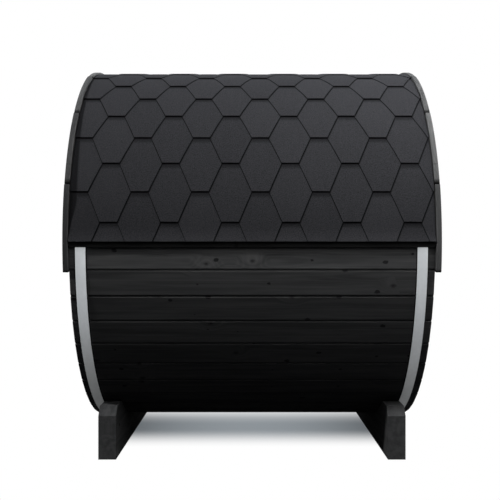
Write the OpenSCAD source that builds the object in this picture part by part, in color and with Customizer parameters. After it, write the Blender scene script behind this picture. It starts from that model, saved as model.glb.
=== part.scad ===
// Barrel sauna: a lying barrel of flat staves on two cradles, closed by two end walls,
// with steel hoops round the staves and a shingled roof over the upper half.
// The barrel's axis runs along X, the door end faces +X and the ground is at Z = 0.

/* [Barrel] */
// Radius from the barrel's axis to the flat outer faces of the staves
barrel_r = 1000; // [850:5:1200]
// Length of the staves
stave_len = 1770; // [1500:5:2600]
// Thickness of the staves
stave_t = 42; // [28:1:60]
// Number of staves round the barrel, the same in each quarter
stave_count = 48; // [40:4:56]
// Gap between neighbouring staves
stave_gap = 0.3; // [0.1:0.1:0.8]
// Chamfer on the outer edges of the staves
stave_chamfer = 4; // [1:0.5:8]
// Height of the barrel's underside above the ground
barrel_lift = 122; // [90:1:180]

/* [Hoops] */
// Width of the steel hoops
hoop_w = 50; // [30:1:80]
// Thickness of the steel hoops
hoop_t = 1.2; // [0.8:0.1:2.5]
// Distance from the stave ends to the hoops
hoop_inset = 34; // [20:1:80]

/* [Cradles] */
// Thickness of each cradle, along the barrel
cradle_t = 92; // [70:1:140]
// Length of each cradle, across the barrel
cradle_len = 1428; // [1340:2:1700]
// Height of each cradle's flat top above the ground
cradle_h = 272; // [220:2:300]
// Chamfer on the upper corners of each cradle
cradle_chamfer = 45; // [10:1:60]
// Distance between a hoop and the cradle beside it
cradle_hoop_gap = 2.5; // [1:0.5:20]

/* [End walls] */
// Thickness of the end walls
wall_t = 42; // [28:1:60]
// Distance from the stave ends to the outer faces of the end walls
wall_inset = 55; // [45:1:120]

/* [Door] */
// Clear width of the doorway
door_w = 600; // [500:10:700]
// Thickness of the door leaf
door_t = 40; // [28:1:42]
// Running gap round the door leaf
door_gap = 3; // [2:0.5:6]
// Wall left between the corners of the door frame and the staves
door_margin = 45; // [30:1:120]
// Width of the door frame's timber
frame_w = 45; // [30:1:70]
// How far the frame and the leaf stand out from the wall
frame_proud = 12; // [4:1:20]
// Distance from the ends of the leaf to the middle of each hinge
hinge_inset = 260; // [150:10:350]
// Length of a hinge's strap on the leaf
hinge_len = 320; // [150:10:400]
// Width of a hinge's strap
hinge_w = 40; // [25:1:60]
// Thickness of a hinge's strap and plate
hinge_t = 4; // [2:0.5:6]
// Diameter of a hinge's knuckle
knuckle_d = 16; // [12:1:24]
// Length of the handle's bar
handle_len = 320; // [200:10:500]
// Diameter of the handle's bar
handle_d = 28; // [20:1:40]
// Reach of the handle from the leaf
handle_reach = 58; // [50:1:64]
// Diameter of the two posts that carry the bar
post_d = 18; // [12:1:20]
// Distance from each end of the bar to its post
post_inset = 50; // [20:5:80]
// Distance from the edge of the leaf to the middle of the bar
handle_inset = 75; // [50:5:150]

/* [Roof] */
// Height of the shingles' lower edge above the barrel's axis
eave_rise = 6; // [2:1:20]
// Depth of the eave battens below the barrel's axis
batten_drop = 20; // [10:1:40]
// Thickness of the eave battens
batten_t = 10; // [6:1:12]
// Thickness of the roof boards
deck_t = 8; // [6:1:15]
// Gap between neighbouring roof boards
deck_gap = 2; // [0.5:0.5:5]
// Length of a course of shingles along the roof's curve
course_len = 151; // [110:1:200]
// Length of the first course, from the eave to the first row of tabs
starter_len = 96; // [60:1:140]
// Thickness of a course at its lower edge, where it laps the course below
course_low_t = 5; // [4:0.5:8]
// Thickness of a course at its upper edge
course_high_t = 2; // [1:0.5:3]
// Width of the strip that covers the ridge
ridge_w = 160; // [100:5:250]
// Thickness of the strip that covers the ridge
ridge_t = 4; // [2:0.5:6]

/* [End trims] */
// Thickness of the end trims, along the barrel
trim_t = 25; // [15:1:40]
// How far the end trims stand out above the shingles
trim_proud = 9; // [4:1:30]
// Number of curved pieces in each end trim
trim_count = 8; // [4:1:12]
// Joint between the pieces of a trim
trim_joint = 2; // [0.5:0.5:5]
// Chamfer on the outer edges of the trim
trim_chamfer = 3; // [1:0.5:6]

/* [Hidden] */
// Clearance between pieces that lie against each other
fit = 0.2;
// Smoothness of the round faces
$fn = 144;

pitch = 360 / stave_count;
course_total = stave_count / 2;
axis_z = barrel_lift + barrel_r;
inner_r = barrel_r - stave_t;
stave_end = stave_len / 2;

// Outermost points of the staves, beside their chamfers
stave_corner_r = norm([barrel_r, stave_half_w(barrel_r) - stave_chamfer]);
hoop_in_r = stave_corner_r + fit;
hoop_out_r = hoop_in_r + hoop_t;
hoop_x = stave_end - hoop_inset - hoop_w / 2;
cradle_x = stave_end - hoop_inset - hoop_w - cradle_hoop_gap - cradle_t / 2;
seat_r = stave_corner_r + fit;

wall_r = inner_r - fit;
wall_out_x = stave_end - wall_inset;
wall_x = wall_out_x - wall_t / 2;

// The doorway is centred on the barrel's axis, and its frame's corners keep clear of the staves
frame_half_w = door_w / 2 + frame_w;
frame_half_h = sqrt(pow(wall_r - door_margin, 2) - pow(frame_half_w, 2));
door_half_h = frame_half_h - frame_w;
door_face_x = wall_out_x + frame_proud;
leaf_half_w = door_w / 2 - door_gap;
leaf_half_h = door_half_h - door_gap;

// Roof boards lie on the hoops, and the courses of shingles lie on the boards
deck_in_r = hoop_out_r + fit;
deck_out_r = deck_in_r + deck_t;
deck_corner_r = deck_out_r / cos(pitch / 2);
eave_deg = asin(eave_rise / barrel_r);
course_deg = course_len / deck_corner_r * 180 / PI;
first_tab_deg = eave_deg + starter_len / deck_corner_r * 180 / PI;
course_in_r = (deck_corner_r + fit) / cos(course_deg / 2);
// The last course below the ridge takes up what is left, from a third of a course upward
strip_total = 1 + ceil((90 - first_tab_deg) / course_deg - 1 / 3);
ridge_in_r = course_in_r + course_high_t + fit;
ridge_deg = ridge_w / ridge_in_r * 180 / PI;

// Each trim reaches one stave below the barrel's axis on both sides
trim_out_r = course_in_r + course_low_t + trim_proud;
trim_x = stave_end + fit + trim_t / 2;
trim_piece_deg = (180 + 2 * pitch) / trim_count;
trim_joint_deg = trim_joint / trim_out_r * 180 / PI;

function course_name(number) = str("stave_course_", number < 10 ? "0" : "", number);

// Half width of a stave at a given distance from the axis
function stave_half_w(r) = r * tan(pitch / 2) - stave_gap / 2;

// Point at a distance from the axis and an angle from the +Y side, upward
function polar(r, deg) = [r * cos(deg), r * sin(deg)];

// Distance from the axis to a flat face, in a direction other than its middle's
function flat_r(r, deg, mid_deg) = r / cos(deg - mid_deg);

// Angle at the lower edge of a course of shingles
function course_start(index) = index == 0 ? eave_deg : first_tab_deg + (index - 1) * course_deg;

// Extrudes an outline in Y and Z along X, about a middle
module slab(mid_x, thickness) {
    translate([mid_x, 0, 0]) rotate([90, 0, 90]) linear_extrude(thickness, center = true) children();
}

// Places a shape that is turned about the barrel's axis
module on_axis(mid_x) {
    translate([mid_x, 0, axis_z]) rotate([90, 0, 90]) children();
}

module stave_outline() {
    edge_r = barrel_r - stave_chamfer;
    face_half_w = stave_half_w(barrel_r) - stave_chamfer;
    polygon([
        [inner_r, -stave_half_w(inner_r)],
        [edge_r, -stave_half_w(edge_r)],
        [barrel_r, -face_half_w],
        [barrel_r, face_half_w],
        [edge_r, stave_half_w(edge_r)],
        [inner_r, stave_half_w(inner_r)]
    ]);
}

// The two staves at one height, one on each side of the barrel, counted from the bottom
module stave_course(number) {
    rise_deg = (number - 0.5) * pitch - 90;
    color("#202124")
        for (mid_deg = [rise_deg, 180 - rise_deg])
            on_axis(0) rotate(mid_deg) linear_extrude(stave_len, center = true) stave_outline();
}

module hoop(mid_x) {
    color("#b9c0c8")
        on_axis(mid_x) rotate_extrude() translate([hoop_in_r, -hoop_w / 2]) square([hoop_t, hoop_w]);
}

module cradle(mid_x) {
    half_len = cradle_len / 2;
    color("#262729")
        slab(mid_x, cradle_t) difference() {
            polygon([
                [-half_len, 0],
                [half_len, 0],
                [half_len, cradle_h - cradle_chamfer],
                [half_len - cradle_chamfer, cradle_h],
                [cradle_chamfer - half_len, cradle_h],
                [-half_len, cradle_h - cradle_chamfer]
            ]);
            translate([0, axis_z]) circle(seat_r);
        }
}

// Outline of an end wall, which fits the flat inner faces of the staves
module wall_outline() {
    polygon([for (index = [0:stave_count - 1]) polar(wall_r / cos(pitch / 2), index * pitch)]);
}

// Part of the front wall, inside a rectangle between two corners about the axis
module front_wall_piece(low, high) {
    color("#1d1e20")
        slab(wall_x, wall_t) translate([0, axis_z]) intersection() {
            wall_outline();
            translate(low) square(high - low);
        }
}

// The wall beside the doorway, on the right, or mirrored to the left
module front_wall_side(side) {
    mirror([0, side < 0 ? 1 : 0, 0])
        front_wall_piece([frame_half_w + fit, -barrel_r], [barrel_r, barrel_r]);
}

module front_wall_head() {
    front_wall_piece([-frame_half_w, frame_half_h + fit], [frame_half_w, barrel_r]);
}

module front_wall_foot() {
    front_wall_piece([-frame_half_w, -barrel_r], [frame_half_w, -frame_half_h - fit]);
}

module rear_wall() {
    color("#1d1e20") slab(-wall_x, wall_t) translate([0, axis_z]) wall_outline();
}

// Two jambs at full height, with a head and a threshold between them
module door_frame() {
    depth = wall_t + frame_proud;
    color("#232427")
        slab(door_face_x - depth / 2, depth) translate([0, axis_z]) {
            for (side = [-1, 1])
                translate([side * (frame_half_w - frame_w / 2), 0])
                    square([frame_w, 2 * frame_half_h], center = true);
            for (end = [-1, 1])
                translate([0, end * (frame_half_h - frame_w / 2)])
                    square([door_w - 2 * fit, frame_w], center = true);
        }
}

module door_leaf() {
    color("#1b1c1e")
        slab(door_face_x - door_t / 2, door_t) translate([0, axis_z])
            square([2 * leaf_half_w, 2 * leaf_half_h], center = true);
}

// Strap on the leaf, plate on the jamb, and the knuckle over the gap between them
module door_hinges() {
    plate_w = frame_w - door_gap;
    color("#303236")
        for (end = [-1, 1])
            translate([door_face_x, -door_w / 2, axis_z + end * (leaf_half_h - hinge_inset)]) {
                translate([0, -plate_w, -hinge_w]) cube([hinge_t, plate_w, 2 * hinge_w]);
                translate([0, 0, -hinge_w / 2]) cube([hinge_t, hinge_len, hinge_w]);
                intersection() {
                    cylinder(d = knuckle_d, h = 2 * hinge_w, center = true);
                    translate([0, -knuckle_d / 2, -hinge_w]) cube([knuckle_d, knuckle_d, 2 * hinge_w]);
                }
            }
}

// Upright round bar on two posts
module door_handle() {
    bar_x = handle_reach - handle_d / 2;
    color("#2a2b2e")
        translate([door_face_x, leaf_half_w - handle_inset, axis_z]) {
            translate([bar_x, 0, 0]) cylinder(d = handle_d, h = handle_len, center = true);
            for (end = [-1, 1])
                translate([0, 0, end * (handle_len / 2 - post_inset)])
                    rotate([0, 90, 0]) cylinder(d = post_d, h = bar_x);
        }
}

// A batten along each eave, under the lower edge of the shingles
module eave_battens() {
    color("#17181a")
        for (side = [-1, 1])
            slab(0, stave_len) translate([side * (deck_in_r + batten_t / 2), axis_z])
                translate([-batten_t / 2, -batten_drop]) square([batten_t, batten_drop + eave_rise]);
}

// Outline of a roof board over one stave, between two angles
module deck_outline(low_deg, high_deg, mid_deg) {
    polygon([
        polar(flat_r(deck_in_r, low_deg, mid_deg), low_deg),
        polar(flat_r(deck_out_r, low_deg, mid_deg), low_deg),
        polar(flat_r(deck_out_r, high_deg, mid_deg), high_deg),
        polar(flat_r(deck_in_r, high_deg, mid_deg), high_deg)
    ]);
}

// Flat boards from the eave to the ridge on the right side, or mirrored to the left one
module roof_boards(side) {
    half_gap_deg = deck_gap / 2 / deck_in_r * 180 / PI;
    color("#3a3530")
        slab(0, stave_len) translate([0, axis_z]) mirror([side < 0 ? 1 : 0, 0])
            for (index = [0:stave_count / 4 - 1])
                deck_outline(
                    max(index * pitch, eave_deg) + half_gap_deg,
                    (index + 1) * pitch - half_gap_deg,
                    (index + 0.5) * pitch
                );
}

// Courses of shingles from the eave to the ridge, each thicker at its lower edge
module shingles(side) {
    half_gap_deg = fit / 2 / course_in_r * 180 / PI;
    color("#34363a")
        slab(0, stave_len) translate([0, axis_z]) mirror([side < 0 ? 1 : 0, 0])
            for (index = [0:strip_total - 1]) {
                low_deg = course_start(index) + half_gap_deg;
                high_deg = (index == strip_total - 1 ? 90 : course_start(index + 1)) - half_gap_deg;
                polygon([
                    polar(course_in_r, low_deg),
                    polar(course_in_r + course_low_t, low_deg),
                    polar(course_in_r + course_high_t, high_deg),
                    polar(course_in_r, high_deg)
                ]);
            }
}

module ridge_strip() {
    color("#3a3c40")
        on_axis(0) rotate(90 - ridge_deg / 2) rotate_extrude(angle = ridge_deg)
            translate([ridge_in_r, -stave_len / 2]) square([ridge_t, stave_len]);
}

// Curved pieces over the stave ends and the edge of the roof
module trim(mid_x) {
    color("#3b3d41")
        on_axis(mid_x)
            for (index = [0:trim_count - 1])
                rotate(index * trim_piece_deg - pitch + trim_joint_deg / 2)
                    rotate_extrude(angle = trim_piece_deg - trim_joint_deg)
                        polygon([
                            [inner_r, -trim_t / 2],
                            [trim_out_r - trim_chamfer, -trim_t / 2],
                            [trim_out_r, trim_chamfer - trim_t / 2],
                            [trim_out_r, trim_t / 2 - trim_chamfer],
                            [trim_out_r - trim_chamfer, trim_t / 2],
                            [inner_r, trim_t / 2]
                        ]);
}

for (number = [1:course_total])
    stave_course(number);
hoop(hoop_x);  // front_hoop
hoop(-hoop_x);  // rear_hoop
cradle(cradle_x);  // front_cradle
cradle(-cradle_x);  // rear_cradle
front_wall_side(-1);  // front_wall_left
front_wall_side(1);  // front_wall_right
front_wall_head();
front_wall_foot();
rear_wall();
door_frame();
door_leaf();
door_hinges();
door_handle();
eave_battens();
roof_boards(-1);  // left_roof_boards
roof_boards(1);  // right_roof_boards
shingles(-1);  // left_shingles
shingles(1);  // right_shingles
ridge_strip();
trim(trim_x);  // front_trim
trim(-trim_x);  // rear_trim
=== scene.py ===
"""Looks of a black-stained barrel sauna with steel hoops, cradles and a honeycomb shingle roof.

Lengths are in metres, in the row frame: the barrel's axis runs along X, the door end faces +X,
and the ground is at Z = 0.
"""

import logging
import math
import random
from dataclasses import dataclass, field
from enum import Enum
from typing import Callable, Iterable, Optional, Sequence, Union

import bmesh
import bpy
from mathutils import Matrix, Vector


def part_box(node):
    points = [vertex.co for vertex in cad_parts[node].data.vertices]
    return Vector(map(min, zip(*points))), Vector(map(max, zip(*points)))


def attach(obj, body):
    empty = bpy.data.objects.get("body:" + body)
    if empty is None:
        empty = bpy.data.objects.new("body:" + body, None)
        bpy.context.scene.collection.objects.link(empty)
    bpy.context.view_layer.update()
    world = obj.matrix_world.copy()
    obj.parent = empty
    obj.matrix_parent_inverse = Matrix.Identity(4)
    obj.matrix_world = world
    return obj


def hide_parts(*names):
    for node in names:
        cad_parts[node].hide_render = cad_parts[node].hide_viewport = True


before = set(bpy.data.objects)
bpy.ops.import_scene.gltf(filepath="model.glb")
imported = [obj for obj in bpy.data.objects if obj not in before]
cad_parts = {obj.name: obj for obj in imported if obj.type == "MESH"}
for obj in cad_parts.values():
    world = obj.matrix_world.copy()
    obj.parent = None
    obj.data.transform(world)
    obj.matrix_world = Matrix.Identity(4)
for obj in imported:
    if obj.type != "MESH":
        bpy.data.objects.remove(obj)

log = logging.getLogger("barrel_sauna")

Colour = tuple[float, float, float]
Number = Union[float, "Value"]
Span = tuple[float, float]
Scale = tuple[float, float, float]
Corner = tuple[float, float]
Cell = tuple[Corner, Corner, Corner, Corner]
# A point of an outline has its two places and its wear. A station along a piece has its place,
# how far the outline is drawn in there and its wear, below zero where shade is painted. A mark is
# a band of painted shade, with its start, its end and its fade.
Outline = list[tuple[float, float, float]]
Station = tuple[float, float, float]
Mark = tuple[float, float, float]

BODY = "root"
PHOTO_SIDE = 500.0
SENSOR_WIDTH = 36.0
MILLIMETRE = 0.001
WHITE: Colour = (1.0, 1.0, 1.0)
BLACK: Colour = (0.0, 0.0, 0.0)
COOL: Colour = (0.93, 0.96, 1.0)
PLAIN_TONE = 0.5
SHARP_ANGLE = math.radians(28.0)
SHARPEST_CORNER = 0.5
DECIMALS = 6
THINNEST_ROW = 1e-6
THINNEST_COLUMN = 1e-5


class Slot(Enum):
    """The record's material slots."""

    WOOD = "black_stained_wood"
    FELT = "bitumen_shingle"
    STEEL = "hoop_steel"
    BOARD = "roof_board_wood"
    IRON = "black_iron"


class Run(Enum):
    """The way in which the grain of a sawn piece runs."""

    SWEEP = "along the sweep"
    FIRST = "along the outline's first axis"
    SECOND = "along the outline's second axis"


class Value:
    """A number that varies over a surface, with Python's operators as Math nodes."""

    def __init__(self, graph: "Graph", socket: bpy.types.NodeSocket) -> None:
        """Wraps one output socket of a graph."""
        self.graph = graph
        self.socket = socket

    def math(self, operation: str, first: Number, second: Number = 0.0) -> "Value":
        """Adds one Math node.

        Args:
            operation: Blender's name of the operation.
            first: the first operand.
            second: the second operand, where the operation has one.

        Returns:
            The node's result.
        """
        return self.graph.out("ShaderNodeMath", {"operation": operation}, {0: first, 1: second})

    def __add__(self, other: Number) -> "Value":
        """Sum."""
        return self.math("ADD", self, other)

    def __radd__(self, other: Number) -> "Value":
        """Sum with the number first."""
        return self.math("ADD", other, self)

    def __sub__(self, other: Number) -> "Value":
        """Difference."""
        return self.math("SUBTRACT", self, other)

    def __rsub__(self, other: Number) -> "Value":
        """Difference with the number first."""
        return self.math("SUBTRACT", other, self)

    def __mul__(self, other: Number) -> "Value":
        """Product."""
        return self.math("MULTIPLY", self, other)

    def __rmul__(self, other: Number) -> "Value":
        """Product with the number first."""
        return self.math("MULTIPLY", other, self)

    def __pow__(self, other: Number) -> "Value":
        """Power."""
        return self.math("POWER", self, other)

    def __rpow__(self, other: Number) -> "Value":
        """Power of the number."""
        return self.math("POWER", other, self)

    def __neg__(self) -> "Value":
        """The value with the other sign."""
        return self.math("SUBTRACT", 0.0, self)

    def __truediv__(self, other: Number) -> "Value":
        """Quotient."""
        return self.math("DIVIDE", self, other)

    def __rtruediv__(self, other: Number) -> "Value":
        """Quotient with the number first."""
        return self.math("DIVIDE", other, self)

    def fraction(self) -> "Value":
        """The part after the point."""
        return self.math("FRACT", self)

    def size(self) -> "Value":
        """The value without its sign."""
        return self.math("ABSOLUTE", self)

    def at_least(self, other: Number) -> "Value":
        """The larger of two values."""
        return self.math("MAXIMUM", self, other)

    def at_most(self, other: Number) -> "Value":
        """The smaller of two values."""
        return self.math("MINIMUM", self, other)

    def above(self, limit: float) -> "Value":
        """One where the value is over the limit, and zero elsewhere."""
        return self.math("GREATER_THAN", self, limit)

    def wave(self) -> "Value":
        """A sine from zero to one that repeats with each whole number."""
        return self.math("SINE", self * math.tau) * 0.5 + 0.5

    def rise(self, low: float, high: float) -> "Value":
        """A smooth step.

        Args:
            low: where the step starts, at zero.
            high: where it ends, at one.

        Returns:
            The step's value.
        """
        return self.graph.out(
            "ShaderNodeMapRange",
            {"interpolation_type": "SMOOTHSTEP"},
            {"Value": self, "From Min": low, "From Max": high},
        )


class Graph:
    """The nodes of one material or of the world."""

    def __init__(self, tree: bpy.types.NodeTree) -> None:
        """Starts with an empty tree."""
        self.tree = tree
        tree.nodes.clear()

    @classmethod
    def of_material(cls, name: str) -> tuple["Graph", bpy.types.Material]:
        """Makes a new material with an empty tree.

        Args:
            name: the material's name.

        Returns:
            Its graph and the material.
        """
        material = bpy.data.materials.new(name)
        material.use_nodes = True
        return cls(material.node_tree), material

    def node(self, kind: str, settings: dict, inputs: dict) -> bpy.types.Node:
        """Adds a node.

        Args:
            kind: Blender's type name of the node.
            settings: its properties, which are set first.
            inputs: values or links of its sockets, by name or number.

        Returns:
            The node.
        """
        made = self.tree.nodes.new(kind)
        for name, setting in settings.items():
            setattr(made, name, setting)
        for key, given in inputs.items():
            if isinstance(given, Value):
                given = given.socket
            if isinstance(given, bpy.types.NodeSocket):
                self.tree.links.new(given, made.inputs[key])
            else:
                made.inputs[key].default_value = given
        return made

    def out(self, kind: str, settings: dict, inputs: dict, output: Union[int, str] = 0) -> Value:
        """Adds a node and takes one of its outputs.

        Args:
            kind: Blender's type name of the node.
            settings: its properties.
            inputs: values or links of its sockets.
            output: the output's name or number.

        Returns:
            That output.
        """
        return Value(self, self.node(kind, settings, inputs).outputs[output])

    def attribute(self, name: str, output: str) -> Value:
        """Reads an attribute of the mesh."""
        return self.out("ShaderNodeAttribute", {"attribute_name": name}, {}, output)

    def split(self, vector: Value) -> tuple[Value, Value, Value]:
        """Takes a vector apart into its three numbers."""
        parts = self.node("ShaderNodeSeparateXYZ", {}, {"Vector": vector})
        return Value(self, parts.outputs[0]), Value(self, parts.outputs[1]), Value(self, parts.outputs[2])

    def join(self, x: Number, y: Number, z: Number) -> Value:
        """Makes a vector of three numbers."""
        return self.out("ShaderNodeCombineXYZ", {}, {"X": x, "Y": y, "Z": z})

    def scaled(self, parts: Sequence[Value], scale: Scale) -> Value:
        """Makes a vector of three numbers, each times its own scale."""
        return self.join(*(part * times for part, times in zip(parts, scale)))

    def noise(self, vector: Value, scale: float = 1.0, detail: float = 2.0, rough: float = 0.5) -> Value:
        """Soft noise from zero to one.

        Args:
            vector: the place.
            scale: how many grains lie in one unit.
            detail: how many finer layers are added.
            rough: how strong the finer layers are.

        Returns:
            The noise.
        """
        inputs = {"Vector": vector, "Scale": scale, "Detail": detail, "Roughness": rough}
        return self.out("ShaderNodeTexNoise", {}, inputs)

    def cells(self, vector: Value, scale: float = 1.0, dimensions: str = "3D") -> tuple[Value, Value]:
        """Scattered points.

        Args:
            vector: the place.
            scale: how many points lie in one unit.
            dimensions: 2D or 3D.

        Returns:
            The distance to the nearest point, and that point's own random number.
        """
        settings = {"voronoi_dimensions": dimensions}
        near = self.node("ShaderNodeTexVoronoi", settings, {"Vector": vector, "Scale": scale})
        pick = self.out("ShaderNodeSeparateColor", {}, {"Color": near.outputs["Color"]})
        return Value(self, near.outputs["Distance"]), pick

    def mix(self, share: Number, first: Union[Colour, Value], second: Union[Colour, Value]) -> Value:
        """Blends two colours.

        Args:
            share: how much of the second colour is taken.
            first: the first colour.
            second: the second colour.

        Returns:
            The blend.
        """
        ends = [given if isinstance(given, Value) else (*given, 1.0) for given in (first, second)]
        inputs = {"Factor": share, 6: ends[0], 7: ends[1]}
        return self.out("ShaderNodeMix", {"data_type": "RGBA"}, inputs, 2)

    def blend(self, share: Number, first: Value, second: Value) -> Value:
        """Blends two shaders.

        Args:
            share: how much of the second shader is taken.
            first: the first shader.
            second: the second shader.

        Returns:
            The blend.
        """
        return self.out("ShaderNodeMixShader", {}, {0: share, 1: first, 2: second})

    def bump(self, height: Value, strength: float, distance: float) -> Value:
        """Turns a height into a normal.

        Args:
            height: the height, from about zero to one.
            strength: the share of the relief that shows.
            distance: the relief's depth.

        Returns:
            The normal.
        """
        inputs = {"Strength": strength, "Distance": distance, "Height": height}
        return self.out("ShaderNodeBump", {}, inputs, "Normal")

    def surface(self, inputs: dict) -> None:
        """Ends the tree in a Principled shader with these inputs."""
        shader = self.node("ShaderNodeBsdfPrincipled", {}, inputs)
        self.node("ShaderNodeOutputMaterial", {}, {"Surface": shader.outputs[0]})


@dataclass(frozen=True)
class StainedWood:
    """Planed softwood under a black stain, with rings, fibres and knots in the solid wood.

    Counts and scales are per metre. A share weighs a layer in the colour, a relief weighs it in the
    height, and a rough weighs it in the roughness.
    """

    name: str = "black_stained_wood"
    deep: Colour = (0.060, 0.061, 0.0625)
    pale: Colour = (0.124, 0.125, 0.126)
    dim: Colour = (0.0262, 0.0268, 0.028)
    spread: float = 0.42
    knot: Colour = (0.014, 0.014, 0.015)
    # Colour of the shade painted where the wear attribute is below zero.
    painted_shade: Colour = (0.007, 0.007, 0.0072)
    worn: Colour = (0.150, 0.149, 0.147)
    ring_count: float = 230.0
    ring_waver: float = 4.0
    ring_swirl: float = 3.0
    board_shift: float = 37.0
    knot_counts: Span = (4.4, 7.0)
    knot_limit: float = 0.66
    knot_shift: float = 13.0
    knot_growth: float = 0.05
    knot_ragged: float = 0.07
    knot_edge: Span = (-0.05, 0.06)
    swirl_reach: float = 0.42
    pin_counts: Span = (6.1, 8.6)
    pin_limit: float = 0.56
    pin_shift: float = 7.0
    pin_start: float = 3.3
    pin_growth: float = 0.15
    pin_least: float = 0.012
    pin_ragged: float = 0.09
    pin_edge: Span = (-0.012, 0.03)
    ragged_scale: float = 90.0
    waver_scale: Scale = (1.3, 6.0, 6.0)
    fibre_scale: Scale = (14.0, 900.0, 900.0)
    streak_scale: Scale = (1.7, 34.0, 34.0)
    streak_swirl: float = 2.0
    streak_band: Span = (0.31, 0.69)
    late_share: float = 0.2
    fibre_share: float = 0.22
    streak_share: float = 0.62
    swirl_share: float = 0.08
    shade_drop: float = 0.04
    knot_share: float = 0.8
    pin_share: float = 0.85
    worn_band: Span = (0.35, 0.75)
    worn_share: float = 0.5
    late_relief: float = 0.35
    fibre_relief: float = 0.5
    streak_relief: float = 0.3
    knot_relief: float = 0.4
    relief_share: float = 0.5
    relief: float = 0.7 * MILLIMETRE
    fibre_rough: float = 0.16
    streak_rough: float = 0.1
    knot_rough: float = 0.1
    roughness: float = 0.66
    gloss: float = 0.005

    def knots(
        self, graph: Graph, place: Value, across: Value, tone: Value, ragged: Value
    ) -> tuple[Value, Value]:
        """Round knots, in some of the cells that the board is divided into.

        Args:
            graph: the material's graph.
            place: the place along the board.
            across: the place across it.
            tone: the board's tone, which moves the cells from board to board.
            ragged: noise that roughens the knots' edges.

        Returns:
            One in the knots and zero elsewhere, and how far the grain swirls round them.
        """
        along_count, across_count = self.knot_counts
        cell = graph.join(place * along_count, across * across_count + tone * self.knot_shift, 0.0)
        far, pick = graph.cells(cell, dimensions="2D")
        chosen = pick.above(self.knot_limit)
        edge = far + ragged * self.knot_ragged - pick * self.knot_growth
        knot = (1.0 - edge.rise(*self.knot_edge)) * chosen
        return knot, (1.0 - far.rise(0.0, self.swirl_reach)) * chosen

    def pin_knots(self, graph: Graph, place: Value, across: Value, tone: Value, ragged: Value) -> Value:
        """Pin knots, in some of their own cells and of several sizes.

        Args:
            graph: the material's graph.
            place: the place along the board.
            across: the place across it.
            tone: the board's tone, which moves the cells from board to board.
            ragged: noise that roughens the knots' edges.

        Returns:
            One in the knots and zero elsewhere.
        """
        along_count, across_count = self.pin_counts
        cell = graph.join(
            place * along_count + self.pin_start, across * across_count + tone * self.pin_shift, 0.0
        )
        far, pick = graph.cells(cell, dimensions="2D")
        size = (pick - self.pin_limit).at_least(0.0) * self.pin_growth + self.pin_least
        pin = 1.0 - (far + ragged * self.pin_ragged - size).rise(*self.pin_edge)
        return pin * pick.above(self.pin_limit)

    def build(self) -> bpy.types.Material:
        """Makes the material.

        Returns:
            The material.
        """
        graph, material = Graph.of_material(self.name)
        tone = graph.attribute("tone", "Fac")
        along, across, depth = graph.split(graph.attribute("grain", "Vector"))
        place = along + tone * self.board_shift
        spot = (place, across, depth)
        ragged = graph.noise(graph.join(*spot), self.ragged_scale) - 0.5
        knot, swirl = self.knots(graph, place, across, tone, ragged)
        pin = self.pin_knots(graph, place, across, tone, ragged)

        waver = graph.noise(graph.scaled(spot, self.waver_scale)) - 0.5
        pith_far = (across * across + depth * depth) ** 0.5
        rings = pith_far * self.ring_count + waver * self.ring_waver + swirl * self.ring_swirl
        late = rings.wave() ** 2.0
        fibre = graph.noise(graph.scaled(spot, self.fibre_scale), detail=3.0, rough=0.6)
        along_scale, across_scale, depth_scale = self.streak_scale
        bent = across * across_scale + swirl * self.streak_swirl
        band = graph.join(place * along_scale, bent, depth * depth_scale)
        streak = graph.noise(band, detail=4.0, rough=0.6)

        shade = late * self.late_share + fibre * self.fibre_share
        shade = shade + streak.rise(*self.streak_band) * self.streak_share
        shade = shade + swirl * self.swirl_share - self.shade_drop
        colour = graph.mix(shade, self.deep, self.pale)
        colour = graph.mix((1.0 - tone) * self.spread, colour, self.dim)
        dark = (knot * self.knot_share).at_least(pin * self.pin_share)
        colour = graph.mix(dark, colour, self.knot)
        edge = graph.attribute("wear", "Fac")
        wear = edge.at_least(0.0) * streak.rise(*self.worn_band)
        colour = graph.mix(wear * self.worn_share, colour, self.worn)
        # Below zero the wear attribute paints shade: beside the hoops, and at the trims' ends, joints and
        # score.
        colour = graph.mix((-edge).at_least(0.0), colour, self.painted_shade)
        height = late * self.late_relief + fibre * self.fibre_relief + streak * self.streak_relief
        height = height - knot * self.knot_relief
        middle = self.roughness - (self.fibre_rough + self.streak_rough) / 2.0
        rough = fibre * self.fibre_rough + streak * self.streak_rough + middle - knot * self.knot_rough
        graph.surface({
            "Base Color": colour,
            "Roughness": rough,
            "Normal": graph.bump(height, self.relief_share, self.relief),
            "Specular IOR Level": self.gloss,
        })
        return material


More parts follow.
